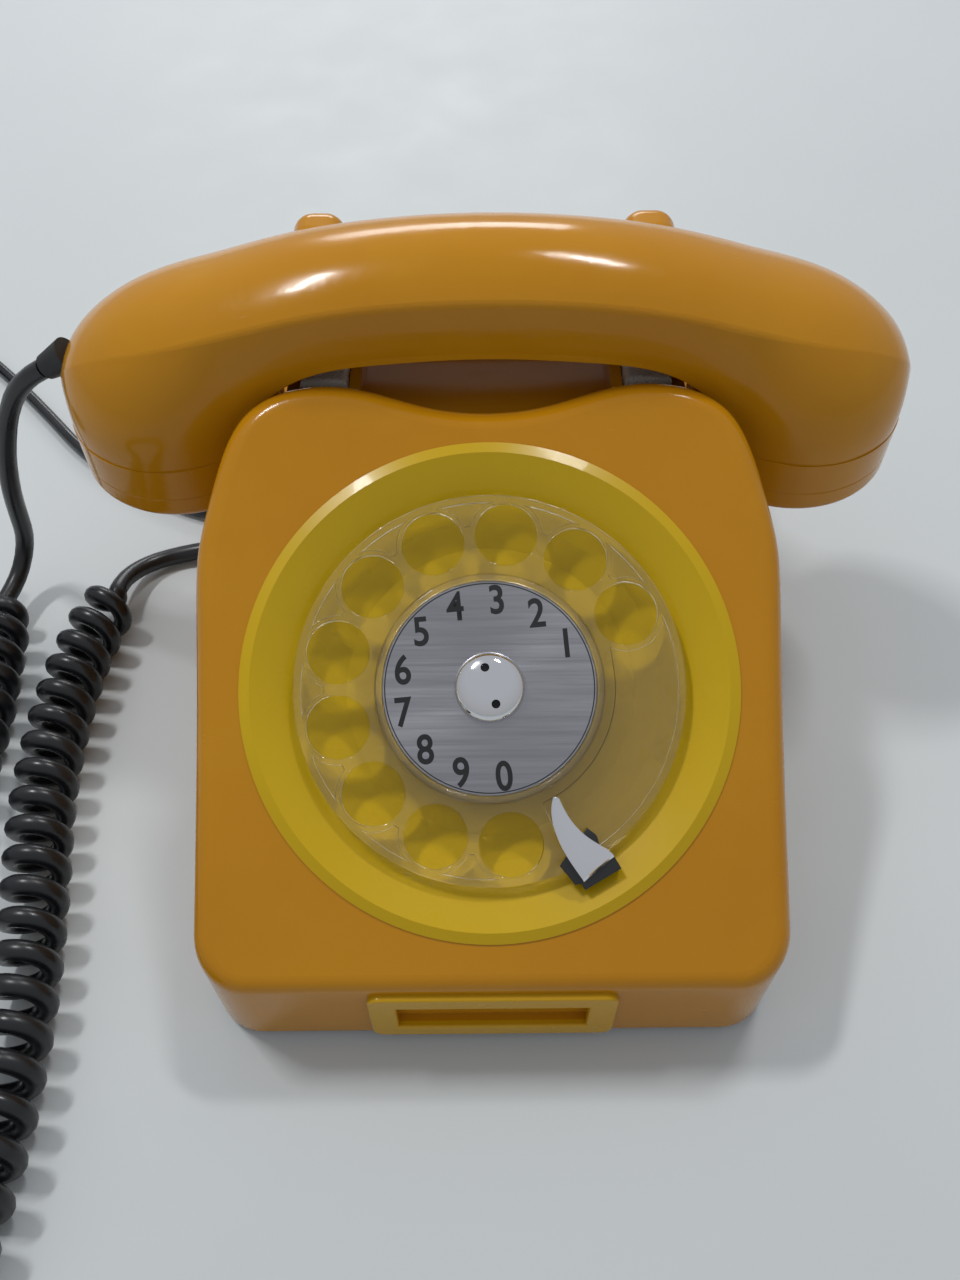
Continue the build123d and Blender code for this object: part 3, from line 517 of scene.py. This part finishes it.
COIL_Z = 0.00875
HANDSET_LEAD = [
    (-0.1087, 0.0418, 0.0864),
    (-0.1148, 0.0428, 0.0828),
    (-0.1226, 0.0440, 0.0730),
    (-0.1294, 0.0446, 0.0570),
    (-0.1334, 0.0450, 0.0420),
    (-0.1355, 0.0460, 0.0300),
    (-0.1375, 0.0475, 0.0180),
    (-0.1405, 0.0410, 0.0095),
]
CURLY = [
    (-0.1430, 0.0300, COIL_Z),
    (-0.1410, 0.0100, COIL_Z),
    (-0.1385, -0.0140, COIL_Z),
    (-0.1400, -0.0440, COIL_Z),
    (-0.1600, -0.0720, COIL_Z),
    (-0.1940, -0.0880, COIL_Z),
    (-0.2220, -0.1150, COIL_Z),
    (-0.2290, -0.1520, COIL_Z),
    (-0.2100, -0.1860, COIL_Z),
    (-0.1740, -0.2000, COIL_Z),
    (-0.1370, -0.1900, COIL_Z),
    (-0.1130, -0.1600, COIL_Z),
    (-0.1080, -0.1260, COIL_Z),
    (-0.1085, -0.0940, COIL_Z),
    (-0.1120, -0.0640, COIL_Z),
    (-0.1170, -0.0340, COIL_Z),
    (-0.1175, -0.0040, COIL_Z),
    (-0.1150, 0.0180, COIL_Z),
    (-0.1105, 0.0340, COIL_Z),
]
CASE_LEAD = [
    (-0.1095, 0.0420, 0.0064),
    (-0.1040, 0.0500, 0.0036),
    (-0.0940, 0.0545, 0.0027),
    (-0.0800, 0.0555, 0.0045),
    (-0.0645, 0.0550, 0.0080),
]
LINE_CORD = [
    (-0.0645, 0.0670, 0.0080),
    (-0.0760, 0.0685, 0.0040),
    (-0.0940, 0.0725, 0.0021),
    (-0.1150, 0.0840, 0.0021),
    (-0.1360, 0.1005, 0.0021),
    (-0.1540, 0.1220, 0.0021),
    (-0.1760, 0.1460, 0.0021),
]
LINE_TAIL = [
    (-0.2399, 0.1290, 0.0080),
    (-0.2400, 0.1210, 0.0045),
    (-0.2396, 0.1110, 0.0040),
    (-0.2384, 0.1030, 0.0062),
    (-0.2380, 0.0965, 0.0070),
]
WIRE = 0.0052
LINE_WIRE = 0.0040


def spline_length(piece):
    """The real length of a curve's line."""
    data = piece.data.copy()
    data.bevel_depth = 0.0
    guide = bpy.data.objects.new("guide", data)
    bpy.context.scene.collection.objects.link(guide)
    bpy.context.view_layer.update()
    mesh = bpy.data.meshes.new_from_object(guide)
    bpy.data.objects.remove(guide)
    line = [v.co.copy() for v in mesh.vertices]
    return line, arc_lengths(line)[-1]


def make_curly_cord():
    """The handset's cord: a plain lead, the curls, and a plain lead into the case."""
    curls = helix_points(CURLY, COIL_Z - WIRE / 2, 0.0083)
    points = [Vector(p) for p in HANDSET_LEAD] + curls + [Vector(p) for p in CASE_LEAD]
    curve = route_curve("handset_cord_curve", points, WIRE / 2, resolution=3)
    line, length = spline_length(curve)
    bpy.context.view_layer.update()
    mesh = bpy.data.meshes.new_from_object(curve)
    bpy.data.objects.remove(curve)
    for polygon in mesh.polygons:
        polygon.use_smooth = True
    cord = bpy.data.objects.new("handset_cord", mesh)
    bpy.context.scene.collection.objects.link(cord)
    paint(cord, CORD)
    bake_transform(cord)
    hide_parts("handset_lead", "curly_cord", "case_lead")


def coil_points(centre, wire, per_turn=12):
    """Control points of the put-away turns: inwards on the floor, outwards on them, then the top turns."""
    layer = 0.87 * wire
    floor = wire / 2 + 0.0001
    floor_turns = (28.0, 24.0, 20.0, 16.0)
    second_turns = (18.0, 22.0, 26.0)
    top_turns = (20.0, 24.0)
    slots = [(radius, k) for k, row in enumerate((floor_turns, second_turns, top_turns)) for radius in row]
    heights = [floor + k * layer for _, k in slots]
    radii = [r * MM for r, _ in slots]
    first = math.radians(37.0)
    points = []
    count = len(slots) * per_turn + 4
    for k in range(count + 1):
        turn = min(k / per_turn, len(slots) - 1e-6)
        slot_index = int(turn)
        share = max(0.0, (turn - slot_index - 0.7) / 0.3)
        share = share * share * (3 - 2 * share)
        after = min(slot_index + 1, len(slots) - 1)
        radius = radii[slot_index] * (1 - share) + radii[after] * share
        height = heights[slot_index] * (1 - share) + heights[after] * share
        angle = first + 2 * math.pi * k / per_turn
        points.append(centre + Vector((radius * math.cos(angle), radius * math.sin(angle), height)))
    return points


def make_line_cord():
    """The cord to the wall: a visible stretch, the rest in a neat coil, and the tail to its plug."""
    centre = Vector((-0.216, 0.145, 0.0))
    points = [Vector(p) for p in LINE_CORD] + coil_points(centre, LINE_WIRE) + [Vector(p) for p in LINE_TAIL]
    cord = route_curve("wall_cord", points, LINE_WIRE / 2, resolution=6)
    length = spline_length(cord)[1]
    paint(cord, CORD)
    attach(cord, "telephone")
    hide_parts("line_cord", "line_cord_coil", "line_cord_tail")


# =====================================================================
# Dial
# =====================================================================
dial_joint = next(j for j in frame["joints"] if j["name"] == "dial_turn")
dial_normal = -Vector(dial_joint["axis"]).normalized()
dial_right = Vector((1.0, 0.0, 0.0))
dial_up = dial_normal.cross(dial_right)
DIAL = Matrix.Translation(dial_joint["pos_m"]) @ Matrix(
    (
        (dial_right.x, dial_up.x, dial_normal.x),
        (dial_right.y, dial_up.y, dial_normal.y),
        (dial_right.z, dial_up.z, dial_normal.z),
    )
).to_4x4()
WHEEL_TOP = 0.0006
WHEEL_THICK = 0.0020
HOLE_CIRCLE = 0.0343
HOLE_RADIUS = 0.0070
HOLE_STEP = 27.68  # degrees from one finger hole to the next
HOLE_ANGLES = [math.radians(28.0 + HOLE_STEP * k) for k in range(10)]
HALF_STEP = math.radians(HOLE_STEP / 2)
POCKET_OUTER = 0.0415
WHEEL_RADIUS = 0.0430
PLATE_RADIUS = 0.0235


def polar(radius, angle):
    return (radius * math.cos(angle), radius * math.sin(angle))


def pocket_loop(middle):
    """A three-sided pocket between two finger holes, its sides following them."""
    guard = 0.0081  # from a finger hole's centre to the pocket's side
    corner = math.radians(9.1)
    tip = polar(0.0352, middle)
    loop = [polar(POCKET_OUTER, middle + corner * (1 - 2 * k / 10)) for k in range(11)]
    for side in (-1, 1):
        hole = polar(HOLE_CIRCLE, middle + side * HALF_STEP)
        ends = [polar(POCKET_OUTER, middle + side * corner), tip]
        turns = [math.atan2(y - hole[1], x - hole[0]) for x, y in ends]
        sweep = (turns[1] - turns[0] + math.pi) % (2 * math.pi) - math.pi
        places = [turns[0] + sweep * k / 8 for k in range(1, 8)]
        side_points = [(hole[0] + guard * math.cos(a), hole[1] + guard * math.sin(a)) for a in places]
        loop += side_points if side < 0 else side_points[::-1]
    return loop


def long_pocket_loop():
    """The pocket that fills the gap between the last finger hole and the first."""
    inner = 0.0275
    start, end = math.radians(-66.0), math.radians(11.5)
    first = math.radians(22.5)
    loop = [polar(POCKET_OUTER, start + (first - start) * k / 30) for k in range(31)]
    hole = polar(HOLE_CIRCLE, HOLE_ANGLES[0])
    guard = 0.0082
    low = math.atan2(loop[-1][1] - hole[1], loop[-1][0] - hole[0])
    for k in range(1, 12):
        turn = low - math.radians(115.0) * k / 11
        loop.append((hole[0] + guard * math.cos(turn), hole[1] + guard * math.sin(turn)))
    loop += [polar(inner, end + (start - end) * k / 20) for k in range(1, 21)]
    return loop


def make_finger_wheel():
    """The clear wheel with its ten holes, the pockets moulded in its underside, and its hub rim."""
    loops = [circle(0, 0, WHEEL_RADIUS, 200)]
    loops += [circle(*polar(HOLE_CIRCLE, a), HOLE_RADIUS) for a in HOLE_ANGLES]
    disc = filled("disc", loops, WHEEL_THICK, 0.00025, WHEEL_TOP - WHEEL_THICK, DIAL)
    depth = 0.0010
    below = 0.0005  # of a cutter under the wheel
    low = WHEEL_TOP - WHEEL_THICK - below
    pockets = [pocket_loop(a + HALF_STEP) for a in HOLE_ANGLES[:-1]] + [long_pocket_loop()]
    cutters = [filled("pocket", [loop], depth + below, 0.0002, low, DIAL) for loop in pockets]
    wheel = mesh_piece("clear_finger_wheel", cut(disc, cutters), CLEAR, "dial", 40.0)
    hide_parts("finger_wheel")
    rim = [
        (0.0237, WHEEL_TOP + 0.00005), (0.0237, WHEEL_TOP + 0.0007), (0.0240, WHEEL_TOP + 0.0010),
        (0.0247, WHEEL_TOP + 0.0010), (0.0251, WHEEL_TOP + 0.0007), (0.0252, WHEEL_TOP + 0.00005),
    ]
    hub = mesh_piece("clear_hub_rim", revolved("hub_rim", rim, DIAL), CLEAR, "dial", 50.0)


def make_number_plate():
    """The brushed disc, a thin black ring of painted shade standing in for the groove round its edge, and
    its digits.
    """
    low = WHEEL_TOP + 0.00002
    top = low + 0.0006
    disc = [
        (0.0, low), (PLATE_RADIUS, low), (PLATE_RADIUS, top - 0.0002),
        (PLATE_RADIUS - 0.0002, top), (0.0, top),
    ]
    plate = mesh_piece("brushed_number_plate", revolved("plate", disc, DIAL), BRUSHED, "dial")
    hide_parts("number_plate")
    # A thin black ring laid on the plate near its edge: painted shade standing in for the shadow of the
    # groove there.
    ring = [
        (PLATE_RADIUS - 0.00075, top), (PLATE_RADIUS - 0.0005, top),
        (PLATE_RADIUS - 0.0005, top + 0.00003), (PLATE_RADIUS - 0.00075, top + 0.00003),
    ]
    edge = mesh_piece("plate_groove_painted_shade", revolved("edge", ring, DIAL), INK, "dial")
    for digit, angle in zip("1234567890", HOLE_ANGLES):
        data = bpy.data.curves.new("digit", "FONT")
        data.body = digit
        data.size = 0.0089
        data.align_x = "CENTER"
        data.align_y = "CENTER"
        data.extrude = 0.00002
        data.offset = 0.00017
        holder = bpy.data.objects.new("digit", data)
        bpy.context.scene.collection.objects.link(holder)
        bpy.context.view_layer.update()
        mesh = bpy.data.meshes.new_from_object(holder)
        bpy.data.objects.remove(holder)
        xs = [v.co.x for v in mesh.vertices]
        ys = [v.co.y for v in mesh.vertices]
        centred = Matrix.Translation((-(min(xs) + max(xs)) / 2, -(min(ys) + max(ys)) / 2, 0.0))
        narrow = Matrix.Diagonal((0.86, 1.0, 1.0, 1.0))
        lean = Matrix.Rotation(math.radians(5.0), 4, "Z")
        x, y = polar(0.0194, angle + math.radians(1.6))
        mesh.transform(DIAL @ Matrix.Translation((x, y, top + 0.00002)) @ lean @ narrow @ centred)
        glyph = mesh_piece(f"digit_{digit}", mesh, INK, "dial")


def make_hub_dome():
    """The chromed dome in the middle, with two holes for a spanner, each floored with a black disc of
    painted shade.
    """
    low = WHEEL_TOP + 0.00064
    shoulder = low + 0.0014
    profile = [(0.0, low), (0.0077, low), (0.0077, low + 0.0009), (0.0075, shoulder)]
    first = math.radians(14.0)
    steps = 16
    for k in range(1, steps + 1):
        turn = first + math.radians(76.0) * k / steps
        reach = 0.00745 * math.cos(turn) / math.cos(first)
        profile.append((reach, shoulder + 0.0032 * (math.sin(turn) - math.sin(first))))
    profile.append((0.0, profile[-1][1]))
    dome = revolved("dome", profile, DIAL, 128)
    hole_places = ((-0.0010, 0.0041), (0.0013, -0.0038))
    hole_floor = low + 0.0012
    pins = []
    for x, y in hole_places:
        pins.append(filled("pin_hole", [circle(x, y, 0.00095, 28)], 0.0050, 0.0001, hole_floor, DIAL))
    piece = mesh_piece("chrome_hub_dome", cut(dome, pins), CHROME, "dial", 50.0)
    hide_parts("hub_dome")
    # A black disc on the floor of each spanner hole: painted shade standing in for the shadow inside the
    # hole.
    for k, (x, y) in enumerate(hole_places):
        floor = filled("pin_hole_painted_shade", [circle(x, y, 0.00090, 28)], 0.0002, 0.00004, hole_floor, DIAL)
        dark = mesh_piece(f"spanner_hole_painted_shade_{k + 1}", floor, INK, "dial")


def make_finger_stop():
    """A curved chromed hook over the wheel, bent down at its root on to a black block."""
    left = [(13.3, -23.6), (12.6, -26.2), (13.2, -30.5), (15.2, -35.2), (17.6, -38.8), (19.3, -41.2)]
    right = [(14.6, -23.9), (16.2, -27.6), (19.0, -31.2), (22.0, -33.3), (24.4, -34.6), (25.9, -35.9)]
    rises = [3.6, 3.5, 3.3, 3.2, 3.1, 2.9]
    across = 8
    rows = []
    for (lx, ly), (rx, ry), rise in zip(left, right, rises):
        row = []
        for k in range(across + 1):
            share = k / across
            crown = 0.35 * math.sin(math.pi * share)
            row.append((lx + (rx - lx) * share, ly + (ry - ly) * share, rise + crown))
        rows.append(row)
    root = []
    for depth, out in ((0.5, 0.7), (2.2, 1.0)):
        root.append([(x + out * 0.5, y - out * 0.87, rises[-1] - depth) for x, y, _ in rows[-1]])
    rows += root
    mesh = bpy.data.meshes.new("stop")
    count = across + 1
    points = [DIAL @ (Vector(p) * MM) for row in rows for p in row]
    faces = [
        (i * count + j, (i + 1) * count + j, (i + 1) * count + j + 1, i * count + j + 1)
        for i in range(len(rows) - 1)
        for j in range(across)
    ]
    mesh.from_pydata([tuple(p) for p in points], [], faces)
    mesh.update()
    stop = mesh_piece("chrome_finger_stop", mesh, CHROME, "telephone", 80.0)
    thick = stop.modifiers.new("thickness", "SOLIDIFY")
    thick.thickness = 0.0011
    thick.offset = -1.0
    round_edge = stop.modifiers.new("edges", "BEVEL")
    round_edge.width = 0.00025
    round_edge.segments = 2
    smooth = stop.modifiers.new("smooth", "SUBSURF")
    smooth.levels = 2
    smooth.render_levels = 2
    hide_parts("finger_stop")
    block = [(14.6, -38.4), (20.6, -30.4), (22.6, -32.0), (24.2, -37.6), (19.0, -42.2), (17.8, -42.4)]
    outline = [(x * MM, y * MM) for x, y in block]
    tongue = filled("tongue", [outline], 0.0011, 0.0002, WHEEL_TOP + 0.0004, DIAL)
    pad = mesh_piece("stop_block", tongue, BLACK, "telephone")


# =====================================================================
# Floor and the making of all of it
# =====================================================================
def make_floor():
    """A plain pale table."""
    finish = Finish("white_table", (0.56, 0.59, 0.595), 0.5, Specular_IOR_Level=0.2)
    finish.tint(finish.spread(finish.noise(6.0, 4.0), 0.35, 0.7, 0.0, 0.35), (0.60, 0.625, 0.635))
    finish.rough(finish.spread(finish.noise(25.0, 3.0), 0.3, 0.7, 0.42, 0.58))
    finish.bump(finish.noise(220.0, 3.0), 0.03)
    mesh = bpy.data.meshes.new("floor")
    reach = 6.0
    corners = [(-reach, -reach, 0), (reach, -reach, 0), (reach, reach, 0), (-reach, reach, 0)]
    mesh.from_pydata(corners, [], [(0, 1, 2, 3)])
    floor = bpy.data.objects.new("floor", mesh)
    bpy.context.scene.collection.objects.link(floor)
    paint(floor, finish.material)


make_camera()
make_curly_cord()
make_line_cord()
make_lights()
make_floor()
make_finger_wheel()
make_number_plate()
make_hub_dome()
make_finger_stop()
